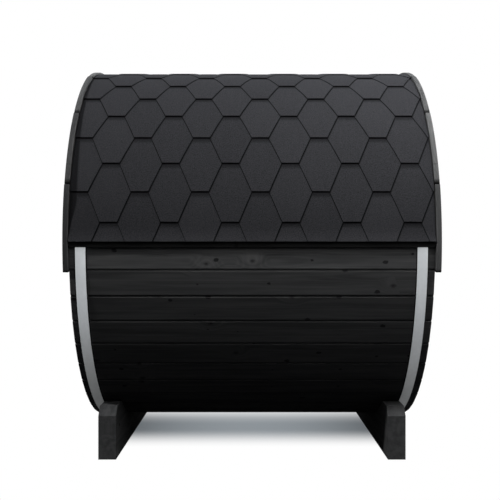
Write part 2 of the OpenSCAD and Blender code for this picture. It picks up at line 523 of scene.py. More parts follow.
@dataclass(frozen=True)
class ShingleFelt:
    """Bitumen felt with fine dark mineral granules, with the shadows of the tabs that lie on it, and of
    the closed end's trim, painted in.
    """

    period: float
    foot: float
    course: float
    roof_end: float
    name: str = "bitumen_shingle"
    dark: Colour = (0.0085, 0.0087, 0.0098)
    light: Colour = (0.0720, 0.0725, 0.0795)
    # Colour of the painted shadows on the felt.
    painted_shadow: Colour = (0.006, 0.006, 0.0065)
    # Widths and strengths of the tabs' painted shadows.
    tab_shadow_right: float = 0.0115
    tab_shadow_left: float = 0.0045
    tab_shadow_foot: float = 0.0145
    tab_shadow_core: float = 0.3
    tab_shadow_share: float = 0.92
    soft_shadow_foot: Span = (0.012, 0.038)
    soft_shadow_share: float = 0.57
    # Sizes of the painted shadow of the trim at the closed end.
    end_width: float = 0.098
    end_taper: float = 0.041
    end_heights: Span = (1.13, 1.36)
    end_edge: Span = (0.72, 1.05)
    end_least: float = 0.002
    end_share: float = 0.74
    granule_scale: float = 620.0
    clump_scale: float = 190.0
    mottle_scale: float = 46.0
    streak_scale: Scale = (60.0, 9.0, 9.0)
    clump_band: Span = (0.2, 0.8)
    granule_share: float = 0.26
    clump_share: float = 0.42
    mottle_share: float = 0.16
    streak_share: float = 0.1
    tone_share: float = 0.08
    dome_relief: float = 0.6
    granule_relief: float = 0.4
    clump_relief: float = 0.5
    relief_share: float = 0.45
    relief: float = 0.7 * MILLIMETRE
    granule_rough: float = 0.12
    roughness: float = 0.88
    gloss: float = 0.005

    def tab_shadow(self, along: Value, up: Value) -> Value:
        """Painted shadow beside and below the tabs of the courses above.

        Args:
            along: the place along the barrel, from the middle of a tab of the own course.
            up: the height over the own tabs' feet.

        Returns:
            One at the tabs' edges, and zero away from them.
        """
        over = up / self.course - 1.0
        aside = ((along / self.period).fraction() - 0.5) * self.period
        half = over.at_least(0.0).at_most(1.0) * (self.period / 2.0 - self.foot) + self.foot / 2.0
        beside = (aside.size() - half).at_least(0.0)
        under = (-over).at_least(0.0) * self.course
        far = (beside * beside + under * under) ** 0.5
        width = aside.above(0.0) * (self.tab_shadow_right - self.tab_shadow_left) + self.tab_shadow_left
        side = 1.0 - (far / width).rise(self.tab_shadow_core, 1.0)
        below = (1.0 - over) * self.course
        foot = 1.0 - below.rise(self.tab_shadow_core * self.tab_shadow_foot, self.tab_shadow_foot)
        soft = (1.0 - below.rise(*self.soft_shadow_foot)) * self.soft_shadow_share
        return side.at_least(foot).at_least(soft)

    def end_painted_shadow(self, graph: Graph) -> Value:
        """Painted shadow of the trim at the closed end, widest a little over the eave.

        Args:
            graph: the material's graph.

        Returns:
            One beside the trim, and zero away from it.
        """
        x, _, z = graph.split(graph.out("ShaderNodeTexCoord", {}, {}, "Object"))
        width = (self.end_width - z * self.end_taper) * z.rise(*self.end_heights) + self.end_least
        return 1.0 - ((x + self.roof_end) / width).rise(*self.end_edge)

    def build(self) -> bpy.types.Material:
        """Makes the material.

        Returns:
            The material.
        """
        graph, material = Graph.of_material(self.name)
        tone = graph.attribute("tone", "Fac")
        place = graph.attribute("grain", "Vector")
        along, up, _ = graph.split(place)
        granule_far, granule = graph.cells(place, self.granule_scale)
        mottle = graph.noise(place, self.mottle_scale, detail=3.0, rough=0.6)
        clump = graph.noise(place, self.clump_scale, rough=0.6)
        streak = graph.noise(graph.scaled((along, up, tone), self.streak_scale), detail=3.0)
        shade = granule * self.granule_share + clump.rise(*self.clump_band) * self.clump_share
        shade = shade + mottle * self.mottle_share + streak * self.streak_share + tone * self.tone_share
        colour = graph.mix(shade, self.dark, self.light)
        # Painted shadows: the tabs' shadows and the closed end's trim shadow darken the felt's colour.
        painted_shadow = (self.tab_shadow(along, up) * self.tab_shadow_share).at_least(self.end_painted_shadow(graph) * self.end_share)
        colour = graph.mix(painted_shadow, colour, self.painted_shadow)
        height = (1.0 - granule_far) * self.dome_relief + granule * self.granule_relief
        height = height + clump * self.clump_relief
        graph.surface({
            "Base Color": colour,
            "Roughness": granule * self.granule_rough + (self.roughness - self.granule_rough / 2.0),
            "Normal": graph.bump(height, self.relief_share, self.relief),
            "Specular IOR Level": self.gloss,
        })
        return material


@dataclass(frozen=True)
class ZincStrip:
    """Zinc-coated steel strip, with a fine lengthwise brush and a faint spangle."""

    name: str = "hoop_steel"
    dull: Colour = (0.50, 0.525, 0.54)
    bright: Colour = (0.64, 0.665, 0.68)
    brush_scale: Span = (3.0, 1600.0)
    cloud_scale: Span = (4.0, 7.0)
    cloud_layer: float = 3.0
    spangle_scale: float = 85.0
    cloud_band: Span = (0.25, 0.75)
    brush_share: float = 0.3
    cloud_share: float = 0.5
    spangle_share: float = 0.2
    brush_relief: float = 0.6
    spangle_relief: float = 0.4
    relief_share: float = 0.25
    relief: float = 0.2 * MILLIMETRE
    cloud_rough: float = 0.14
    spangle_rough: float = 0.06
    metal: float = 0.75
    roughness: float = 0.46

    def build(self) -> bpy.types.Material:
        """Makes the material.

        Returns:
            The material.
        """
        graph, material = Graph.of_material(self.name)
        along, across, _ = graph.split(graph.attribute("grain", "Vector"))
        long, wide = self.brush_scale
        brush = graph.noise(graph.join(along * long, across * wide, 0.0), detail=3.0, rough=0.6)
        long, wide = self.cloud_scale
        cloud = graph.noise(graph.join(along * long, across * wide, self.cloud_layer), detail=3.0)
        _, spangle = graph.cells(graph.join(along, across, 0.0), self.spangle_scale, "2D")
        shade = brush * self.brush_share + cloud.rise(*self.cloud_band) * self.cloud_share
        shade = shade + spangle * self.spangle_share
        height = brush * self.brush_relief + spangle * self.spangle_relief
        middle = self.roughness - (self.cloud_rough + self.spangle_rough) / 2.0
        graph.surface({
            "Base Color": graph.mix(shade, self.dull, self.bright),
            "Metallic": self.metal,
            "Roughness": cloud * self.cloud_rough + spangle * self.spangle_rough + middle,
            "Normal": graph.bump(height, self.relief_share, self.relief),
        })
        return material


@dataclass(frozen=True)
class BlackIron:
    """Black-painted ironwork with a faint orange-peel skin and rubbed edges."""

    name: str = "black_iron"
    paint: Colour = (0.022, 0.022, 0.024)
    rubbed: Colour = (0.10, 0.10, 0.105)
    peel_scale: float = 420.0
    cloud_scale: float = 38.0
    rubbed_band: Span = (0.4, 0.7)
    peel_relief: float = 0.7
    cloud_relief: float = 0.3
    relief_share: float = 0.3
    relief: float = 0.3 * MILLIMETRE
    cloud_rough: float = 0.2
    metal: float = 0.2
    roughness: float = 0.42

    def build(self) -> bpy.types.Material:
        """Makes the material.

        Returns:
            The material.
        """
        graph, material = Graph.of_material(self.name)
        place = graph.attribute("grain", "Vector")
        peel = graph.noise(place, self.peel_scale)
        cloud = graph.noise(place, self.cloud_scale, detail=4.0, rough=0.6)
        wear = graph.attribute("wear", "Fac") * cloud.rise(*self.rubbed_band)
        height = peel * self.peel_relief + cloud * self.cloud_relief
        graph.surface({
            "Base Color": graph.mix(wear, self.paint, self.rubbed),
            "Roughness": cloud * self.cloud_rough + (self.roughness - self.cloud_rough / 2.0),
            "Normal": graph.bump(height, self.relief_share, self.relief),
            "Metallic": self.metal,
        })
        return material


@dataclass(frozen=True)
class TarredBoard:
    """Dark softwood, coated with tar, of the boards under the shingles."""

    name: str = "roof_board_wood"
    pale: Colour = (0.040, 0.034, 0.028)
    brown: Colour = (0.018, 0.015, 0.012)
    streak_scale: Scale = (2.0, 60.0, 60.0)
    fibre_scale: Scale = (16.0, 800.0, 800.0)
    streak_band: Span = (0.3, 0.7)
    streak_share: float = 0.7
    fibre_share: float = 0.3
    fibre_relief: float = 0.6
    streak_relief: float = 0.4
    relief_share: float = 0.4
    relief: float = 0.5 * MILLIMETRE
    fibre_rough: float = 0.2
    roughness: float = 0.7

    def build(self) -> bpy.types.Material:
        """Makes the material.

        Returns:
            The material.
        """
        graph, material = Graph.of_material(self.name)
        spot = graph.split(graph.out("ShaderNodeTexCoord", {}, {}, "Object"))
        streak = graph.noise(graph.scaled(spot, self.streak_scale), detail=4.0, rough=0.6)
        fibre = graph.noise(graph.scaled(spot, self.fibre_scale))
        shade = streak.rise(*self.streak_band) * self.streak_share + fibre * self.fibre_share
        height = fibre * self.fibre_relief + streak * self.streak_relief
        graph.surface({
            "Base Color": graph.mix(shade, self.pale, self.brown),
            "Roughness": fibre * self.fibre_rough + (self.roughness - self.fibre_rough / 2.0),
            "Normal": graph.bump(height, self.relief_share, self.relief),
        })
        return material


@dataclass(frozen=True)
class Spot:
    """One point of a piece, with its place in the grain and its wear, below zero where shade is painted.
    """

    place: Vector
    grain: Vector
    wear: float = 0.0


class Shape:
    """Points and faces of one piece."""

    def __init__(self) -> None:
        """Starts empty."""
        self.spots: list[Spot] = []
        self.tones: list[float] = []
        self.faces: list[tuple[int, ...]] = []

    def add_spots(self, spots: Iterable[Spot], tone: float) -> list[int]:
        """Adds points.

        Args:
            spots: the points.
            tone: the tone of the board or tab that they belong to.

        Returns:
            Their numbers.
        """
        first = len(self.spots)
        self.spots.extend(spots)
        self.tones.extend([tone] * (len(self.spots) - first))
        return list(range(first, len(self.spots)))

    def add_loft(self, rings: Sequence[Sequence[Spot]], tone: float, looped: bool = False) -> None:
        """Skins a row of closed rings.

        Args:
            rings: the rings, all with as many points.
            tone: the tone of the piece.
            looped: whether the last ring joins the first. Both ends are capped otherwise.
        """
        numbers = [self.add_spots(ring, tone) for ring in rings]
        pairs = list(zip(numbers, numbers[1:]))
        if looped:
            pairs.append((numbers[-1], numbers[0]))
        else:
            self.faces.append(tuple(reversed(numbers[0])))
            self.faces.append(tuple(numbers[-1]))
        for low, high in pairs:
            for index in range(len(low)):
                after = (index + 1) % len(low)
                self.faces.append((low[index], low[after], high[after], high[index]))

    def add_sheet(
        self,
        cells: Sequence[Cell],
        skin: Callable[[Corner], tuple[Spot, Spot, float]],
    ) -> None:
        """Makes a sheet with a thickness of four-cornered cells, with walls along its free edges.

        Args:
            cells: the cells, with their corners in the sheet's own two measures.
            skin: gives a corner's point on the outer side, its point on the inner side and its tone.
        """
        outer: dict[Corner, int] = {}
        inner: dict[Corner, int] = {}
        edges: dict[tuple[Corner, Corner], None] = {}
        for cell in cells:
            for corner in cell:
                if corner not in outer:
                    top, under, tone = skin(corner)
                    outer[corner], inner[corner] = self.add_spots((top, under), tone)
            for start, end in zip(cell, cell[1:] + cell[:1]):
                edges[(start, end)] = None
            self.faces.append(tuple(outer[corner] for corner in cell))
            self.faces.append(tuple(inner[corner] for corner in reversed(cell)))
        for start, end in edges:
            if (end, start) not in edges:
                self.faces.append((outer[end], outer[start], inner[start], inner[end]))

    def publish(self, name: str, material: bpy.types.Material, slot: Slot, *nodes: str) -> None:
        """Makes the piece and sets it in the frame.

        Args:
            name: the piece's name.
            material: its finish.
            slot: the record's slot of that finish. Not used.
            nodes: the CAD nodes that it stands for.
        """
        mesh = bpy.data.meshes.new(name)
        mesh.from_pydata([spot.place for spot in self.spots], [], self.faces)
        work = bmesh.new()
        work.from_mesh(mesh)
        bmesh.ops.recalc_face_normals(work, faces=work.faces)
        work.to_mesh(mesh)
        work.free()
        grain = mesh.attributes.new("grain", "FLOAT_VECTOR", "POINT")
        grain.data.foreach_set("vector", [part for spot in self.spots for part in spot.grain])
        mesh.attributes.new("tone", "FLOAT", "POINT").data.foreach_set("value", self.tones)
        wear = [spot.wear for spot in self.spots]
        mesh.attributes.new("wear", "FLOAT", "POINT").data.foreach_set("value", wear)
        mesh.polygons.foreach_set("use_smooth", [True] * len(mesh.polygons))
        mesh.set_sharp_from_angle(angle=SHARP_ANGLE)
        mesh.materials.append(material)
        piece = bpy.data.objects.new(name, mesh)
        bpy.context.scene.collection.objects.link(piece)
        piece.modifiers.new("flat_faces", "WEIGHTED_NORMAL").keep_sharp = True
        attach(piece, BODY)
        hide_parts(*nodes)
        log.info("%s: %d points, %d faces", name, len(mesh.vertices), len(mesh.polygons))


def rounded(corners: Sequence[Corner], radii: Sequence[float], steps: int = 3) -> Outline:
    """Rounds the corners of an outline.

    Args:
        corners: the corners, in order.
        radii: how far each corner is cut back along its sides. Zero keeps it sharp.
        steps: how many short sides make a round corner.

    Returns:
        The outline's points, each with its wear.
    """
    outline: Outline = []
    for index, corner in enumerate(corners):
        here = Vector(corner)
        if radii[index] <= 0.0:
            outline.append((here.x, here.y, 0.0))
            continue
        start = here + (Vector(corners[index - 1]) - here).normalized() * radii[index]
        end = here + (Vector(corners[(index + 1) % len(corners)]) - here).normalized() * radii[index]
        for step in range(steps + 1):
            share = step / steps
            point = start.lerp(here, share).lerp(here.lerp(end, share), share)
            outline.append((point.x, point.y, 1.0 if 0 < step < steps else 0.0))
    return outline


def rectangle(low: Corner, high: Corner, radius: float) -> Outline:
    """A rectangle between two corners, with its own corners a little rounded."""
    corners = [low, (high[0], low[1]), high, (low[0], high[1])]
    return rounded(corners, [radius] * 4, steps=2)


def circle(radius: float, count: int) -> Outline:
    """A round outline of a given number of points."""
    turns = [math.tau * index / count for index in range(count)]
    return [(radius * math.cos(turn), radius * math.sin(turn), 0.0) for turn in turns]


def inset(outline: Outline, distance: float) -> Outline:
    """Moves each point of an outline inward.

    Args:
        outline: the outline, anticlockwise.
        distance: how far its sides move.

    Returns:
        The smaller outline.
    """
    moved: Outline = []
    for index, (x, y, wear) in enumerate(outline):
        here = Vector((x, y))
        before = here - Vector(outline[index - 1][:2])
        after = Vector(outline[(index + 1) % len(outline)][:2]) - here
        left = Vector((-before.y, before.x)).normalized() + Vector((-after.y, after.x)).normalized()
        reach = distance * 2.0 / max(left.length_squared, SHARPEST_CORNER)
        point = here + left * reach
        moved.append((point.x, point.y, wear))
    return moved


def basis(origin: Vector, sweep: Vector, first: Vector, second: Vector) -> Matrix:
    """A placing of an outline in space.

    Args:
        origin: where the outline's own origin lies.
        sweep: the direction in which it is swept.
        first: the direction of its first axis.
        second: the direction of its second axis.

    Returns:
        The matrix from sweep, first and second to the row frame.
    """
    turn = Matrix((sweep, first, second)).transposed().to_4x4()
    return Matrix.Translation(origin) @ turn


X, Y, Z = Vector((1, 0, 0)), Vector((0, 1, 0)), Vector((0, 0, 1))


@dataclass(frozen=True)
class PithRange:
    """Where the pith of the log may lie, seen from a sawn piece."""

    across: Span
    depth: Span

    def draw(self, chance: random.Random, middle: float = 0.0) -> Corner:
        """Picks a place for the pith.

        Args:
            chance: the source of random numbers.
            middle: the middle of the piece, across it.

        Returns:
            The place across the piece and the place in its depth.
        """
        across = middle + chance.uniform(*self.across)
        return across, chance.uniform(*self.depth)


@dataclass
class Stock:
    """A straight piece of stock: an outline swept through a length, with eased ends."""

    outline: Outline
    length: float
    place: Matrix
    run: Run = Run.SWEEP
    pith: Corner = (0.0, -0.05)
    ease: float = 0.002
    ease_steps: int = 2
    marks: Sequence[Mark] = ()
    mark_core: float = 0.25
    # How dark the marks' painted shade is.
    painted_shade_weight: float = 0.9

    def grain_at(self, sweep: float, first: float, second: float) -> Vector:
        """The place in the grain of a point of the piece.

        Args:
            sweep: the point's place along the sweep.
            first: its place on the outline's first axis.
            second: its place on the outline's second axis.

        Returns:
            Its place along the grain, and across it in two directions from the pith.
        """
        along, across, depth = {
            Run.SWEEP: (sweep, first, second),
            Run.FIRST: (first, second, sweep),
            Run.SECOND: (second, first, sweep),
        }[self.run]
        return Vector((along, across - self.pith[0], depth - self.pith[1]))

    def stations(self) -> list[Station]:
        """Places along the sweep.

        Returns:
            Each place with how far the outline is drawn in there, and its wear, below zero where shade is
            painted.
        """
        half = self.length / 2.0
        low = []
        for step in range(self.ease_steps + 1):
            turn = math.pi / 2.0 * step / self.ease_steps
            worn = 1.0 if 0 < step < self.ease_steps else 0.0
            sweep = -half + self.ease * (1.0 - math.sin(turn))
            low.append((sweep, self.ease * (1.0 - math.cos(turn)), worn))
        low.reverse()
        # Each mark paints a band of shade, darkest in its core.
        marks = []
        for start, end, fade in self.marks:
            core = fade * self.mark_core
            marks += [(start - fade, 0.0, 0.0), (start - core, 0.0, -self.painted_shade_weight)]
            marks += [(end + core, 0.0, -self.painted_shade_weight), (end + fade, 0.0, 0.0)]
        return low + marks + [(-sweep, drawn, worn) for sweep, drawn, worn in reversed(low)]

    def add_to(self, shape: Shape, tone: float) -> None:
        """Adds the piece to a shape.

        Args:
            shape: the shape that it goes into.
            tone: its tone.
        """
        rings = []
        stations = self.stations()
        for sweep, drawn, worn in stations:
            flat = sweep in (stations[0][0], stations[-1][0])
            ring = []
            for first, second, wear in inset(self.outline, drawn) if drawn > 0.0 else self.outline:
                spot = self.place @ Vector((sweep, first, second))
                # A station's wear below zero is painted shade, and wins over the outline's wear.
                rubbed = worn if worn < 0.0 else max(wear, worn)
                ring.append(Spot(spot, self.grain_at(sweep, first, second), 0.0 if flat else rubbed))
            rings.append(ring)
        shape.add_loft(rings, tone)


@dataclass
class Barrel:
    """Sizes that the sub-assemblies share, taken from the frame."""

    stave_count: int = 48
    radius: float = 1.0
    stave_thickness: float = 0.042
    hoop_nudge: float = -0.003
    half_length: float = field(init=False)
    axis: Vector = field(init=False)
    pitch: float = field(init=False)

    def __post_init__(self) -> None:
        """Reads the barrel's place from its hoop and its staves."""
        low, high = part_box("front_hoop")
        self.axis = Vector((0.0, 0.0, (low.z + high.z) / 2.0))
        self.half_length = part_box("stave_course_01")[1].x
        self.pitch = math.tau / self.stave_count

    @property
    def inner_radius(self) -> float:
        """The distance from the axis to the inner side of the staves."""
        return self.radius - self.stave_thickness

    def hoop_span(self, node: str) -> Span:
        """Where a hoop starts and ends along the barrel."""
        low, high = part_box(node)
        return low.x + self.hoop_nudge, high.x + self.hoop_nudge

    def out(self, turn: float) -> Vector:
        """The direction away from the axis, at an angle upward from the +Y side."""
        return Vector((0.0, math.cos(turn), math.sin(turn)))

    def on(self, x: float, radius: float, turn: float) -> Vector:
        """The point at a place along the axis, a distance from it and an angle."""
        return self.axis + X * x + self.out(turn) * radius


@dataclass
class Staves:
    """Flat staves that lie along the barrel, in pairs at one height."""

    barrel: Barrel
    joint: float = 0.0006
    groove: float = 0.0105
    groove_depth: float = 0.0055
    round_edge: float = 0.0028
    uneven: float = 0.0004
    # How far the painted shadow beside each hoop fades out.
    hoop_shadow: float = 0.007
    pith: PithRange = PithRange((-0.05, 0.05), (-0.10, -0.045))
    # Tones of the near boards, given one by one from the bottom: partly each board's own tone, partly
    # painted light that makes the top board lightest.
    near_tones: tuple[float, ...] = (0.3, 0.3, 0.2, 0.2, 0.0, 0.26, 0.26, 0.1, 0.65, 0.0, 0.27, 1.0)
    chance: random.Random = field(default_factory=lambda: random.Random(11))

    def outline(self) -> Outline:
        """The section of a stave.

        Returns:
            The outline, anticlockwise, with the middle of the outer face at its origin.
        """
        slope = math.tan(self.barrel.pitch / 2.0)
        levels = (
            (self.barrel.stave_thickness, self.joint), (self.groove_depth, self.joint),
            (self.groove_depth, self.groove), (0.0, self.groove),
        )
        right = [((self.barrel.radius - deep) * slope - gap / 2.0, -deep) for deep, gap in levels]
        left = [(-across, depth) for across, depth in reversed(right)]
        edge = self.round_edge
        return rounded(right + left, [0.0, 0.0, 0.0, edge, edge, 0.0, 0.0, 0.0])

    def build(self, wood: bpy.types.Material) -> None:
        """Makes one piece for each height.

        Args:
            wood: the staves' finish.
        """
        outline = self.outline()
        # Painted shadow beside each hoop, on the staves.
        marks = [(*self.barrel.hoop_span(node), self.hoop_shadow) for node in ("rear_hoop", "front_hoop")]
        for number in range(self.barrel.stave_count // 2):
            shape = Shape()
            rise = (number + 0.5) * self.barrel.pitch - math.pi / 2.0
            for turn in (rise, math.pi - rise):
                tone = self.chance.random()
                if turn > math.pi / 2.0 and number < len(self.near_tones):
                    tone = self.near_tones[number]
                out = self.barrel.out(turn)
                radius = self.barrel.radius - self.chance.uniform(0.0, self.uneven)
                place = basis(self.barrel.axis + out * radius, X, X.cross(out) * -1.0, out)
                pith = self.pith.draw(self.chance)
                stave = Stock(outline, 2.0 * self.barrel.half_length, place, pith=pith, marks=marks)
                stave.add_to(shape, tone)
            node = f"stave_course_{number + 1:02d}"
            shape.publish(f"{node}_wood", wood, Slot.WOOD, node)


@dataclass
class Hoops:
    """Steel strips round the staves."""

    barrel: Barrel
    stations: int = 240
    edge: float = 0.0004
    thickness: float = 0.0030
    proud: float = 0.0018

    def build(self, steel: bpy.types.Material) -> None:
        """Makes both hoops.

        Args:
            steel: their finish.
        """
        for node in ("front_hoop", "rear_hoop"):
            low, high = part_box(node)
            outer = (high.y - low.y) / 2.0 + self.proud
            inner = outer - self.thickness
            near, far = self.barrel.hoop_span(node)
            corners = [(inner, near), (outer, near), (outer, far), (inner, far)]
            outline = rounded(corners, [self.edge] * 4, steps=2)
            rings = []
            for station in range(self.stations):
                turn = math.tau * station / self.stations
                rings.append([
                    Spot(self.barrel.on(x, radius, turn), Vector((turn * outer, x, radius)), wear)
                    for radius, x, wear in outline
                ])
            shape = Shape()
            shape.add_loft(rings, PLAIN_TONE, looped=True)
            shape.publish(f"{node}_strip", steel, Slot.STEEL, node)


@dataclass
class Cradles:
    """Timber cradles with a round seat for the barrel."""

    barrel: Barrel
    chamfer: float = 0.045
    round_edge: float = 0.0007
    ease: float = 0.0005
    seat_radius: float = 1.0022
    seat_points: int = 48
    pith: PithRange = PithRange((-0.02, 0.06), (-0.02, 0.02))
    tones: tuple[float, float] = (0.2, 0.4)
    chance: random.Random = field(default_factory=lambda: random.Random(23))

    def outline(self, half: float, height: float) -> Outline:
        """The shape of a cradle seen along the barrel.

        Args:
            half: half of its length.
            height: its height.

        Returns:
            The outline, anticlockwise.
        """
        cut = self.chamfer
        drop = self.barrel.axis.z - height
        reach = math.sqrt(self.seat_radius ** 2 - drop ** 2)
        right = [(half, 0.0), (half, height - cut), (half - cut, height), (reach, height)]
        left = [(-y, z) for y, z in reversed(right)]
        end = math.asin(reach / self.seat_radius)
        seat = []
        for index in range(1, self.seat_points):
            turn = end * (1.0 - 2.0 * index / self.seat_points)
            seat.append((
                self.seat_radius * math.sin(turn),
                self.barrel.axis.z - self.seat_radius * math.cos(turn),
            ))
        edge = self.round_edge
        radii = [edge, edge, edge, 0.0] + [0.0] * len(seat) + [0.0, edge, edge, edge]
        return rounded(right + seat + left, radii)

    def build(self, wood: bpy.types.Material) -> None:
        """Makes both cradles.

        Args:
            wood: their finish.
        """
        for node, tone in zip(("front_cradle", "rear_cradle"), self.tones):
            low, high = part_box(node)
            middle = Vector(((low.x + high.x) / 2.0, 0.0, 0.0))
            outline = self.outline(high.y, high.z)
            pith = self.pith.draw(self.chance)
            beam = Stock(outline, high.x - low.x, basis(middle, X, Y, Z), Run.FIRST, pith, self.ease)
            shape = Shape()
            beam.add_to(shape, tone)
            shape.publish(f"{node}_beam", wood, Slot.WOOD, node)


@dataclass
class Trims:
    """Arched trims of curved pieces over the stave ends and the edge of the roof."""

    barrel: Barrel
    count: int = 8
    joint: float = 0.0016
    sag: float = math.radians(0.80)
    lower: float = 0.0098
    round_edge: float = 0.0022
    # End stations: place, how far the face is drawn in, and painted shade on the rounded ends and in the
    # joints.
    free_end: tuple[Station, ...] = (
        (0.0, 0.004, -1.0), (0.002, 0.0014, -1.0), (0.006, 0.0002, -0.9), (0.010, 0.0, -0.5),
        (0.015, 0.0, 0.0),
    )
    hanging_end: tuple[Station, ...] = (
        (0.0, 0.0065, -1.0), (0.002, 0.0040, -1.0), (0.005, 0.0014, -1.0), (0.009, 0.0003, -0.92),
        (0.0135, 0.0, -0.76), (0.0225, 0.0, -0.46), (0.030, 0.0, 0.0),
    )
    standing_end: tuple[Station, ...] = ((0.0, 0.0012, -0.4), (0.0012, 0.0, 0.0))
    tilt: float = 0.0020
    # The score is a shallow groove with painted shade in it.
    score: float = math.radians(22.1)
    score_depth: float = 0.0016
    score_painted_shade: float = 0.8
    stations: int = 16
    pith: PithRange = PithRange((0.9, 1.1), (-0.05, 0.05))
    # Tones given piece by piece: partly each piece's own tone, partly painted light, with the lowest near
    # piece of each trim darkest and the rear trim's top near piece lightest.
    front_tones: tuple[float, ...] = (0.4, 0.7, 0.5, 0.6, 0.50, 0.40, 0.68, 0.26)
    rear_tones: tuple[float, ...] = (0.3, 0.5, 0.6, 0.4, 0.95, 0.44, 0.18, 0.00)
    chance: random.Random = field(default_factory=lambda: random.Random(37))

    def cut(self, index: int) -> float:
        """The angle at which a piece starts. The joints lie a little below an even spacing.

        Args:
            index: the piece's number, up from the +Y side.

        Returns:
            The angle upward from the +Y side.
        """
        even = -self.barrel.pitch + (math.pi + 2.0 * self.barrel.pitch) * index / self.count
        shift = self.lower / self.barrel.radius if index in (0, self.count) else self.sag
        if index == self.count // 2:
            return even
        return even - shift if index < self.count // 2 else even + shift

    def stations_of(self, outer: float, index: int) -> list[Station]:
        """Angles along a piece.

        Args:
            outer: the trim's outer radius.
            index: the piece's number, up from the +Y side.

        Returns:
            Each angle with how far the outer face is drawn in there, and how dark the painted shade is
            there.
        """
        ends = [self.hanging_end, self.standing_end]
        if index in (0, self.count - 1):
            ends[0] = self.free_end
        if index >= self.count // 2:
            ends.reverse()
        start = self.cut(index) + self.joint / 2.0 / outer
        end = self.cut(index + 1) - self.joint / 2.0 / outer
        low = start + ends[0][-1][0] / outer
        high = end - ends[1][-1][0] / outer
        plain = []
        for station in range(self.stations + 1):
            plain.append((low + (high - low) * station / self.stations, 0.0, 0.0))
        reach = self.score_depth / outer
        for line in (self.score, math.pi - self.score):
            if low < line < high:
                plain += [(line - reach, 0.0, 0.0), (line + reach, 0.0, 0.0)]
                plain.append((line, self.score_depth, -self.score_painted_shade))
        first = [(start + far / outer, drawn, painted_shade_weight) for far, drawn, painted_shade_weight in ends[0][:-1]]
        last = [(end - far / outer, drawn, painted_shade_weight) for far, drawn, painted_shade_weight in ends[1][:-1]]
        return first + sorted(plain) + last[::-1]

    def piece(self, shape: Shape, node: str, index: int, tone: float) -> None:
        """Adds one curved piece.

        Args:
            shape: the shape that it goes into.
            node: the trim's node.
            index: the piece's number, up from the +Y side.
            tone: its tone.
        """
        low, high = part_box(node)
        outer = high.y - self.tilt
        inner = self.barrel.inner_radius
        corners = [(inner, low.x), (outer, low.x), (outer, high.x), (inner, high.x)]
        outline = rounded(corners, [self.round_edge] * 4)
        start, end = self.cut(index), self.cut(index + 1)
        middle = (start + end) / 2.0
        tangent = X.cross(self.barrel.out(middle))
        pith_radius, pith_aside = self.pith.draw(self.chance)
        pith = Vector((0.0, pith_radius, pith_aside + low.x))
        upward = 1.0 if math.cos(middle) > 0.0 else -1.0
        rings = []
        for turn, drawn, painted_shade_weight in self.stations_of(outer, index):
            lean = upward * self.tilt * (turn - middle) / (end - start) * 2.0
            ring = []
            for radius, x, wear in outline:
                height = (radius - inner) / (outer - inner)
                spot = self.barrel.on(x, radius + lean - drawn * height, turn)
                flat = spot - self.barrel.axis
                grain = Vector((flat.dot(tangent), flat.dot(self.barrel.out(middle)), x)) - pith
                ring.append(Spot(spot, grain, painted_shade_weight if painted_shade_weight < 0.0 else wear))
            rings.append(ring)
        shape.add_loft(rings, tone)

    def build(self, wood: bpy.types.Material) -> None:
        """Makes the trim at each end.

        Args:
            wood: their finish.
        """
        for node, tones in (("front_trim", self.front_tones), ("rear_trim", self.rear_tones)):
            shape = Shape()
            for index, tone in enumerate(tones):
                self.piece(shape, node, index, tone)
            shape.publish(f"{node}_wood", wood, Slot.WOOD, node)


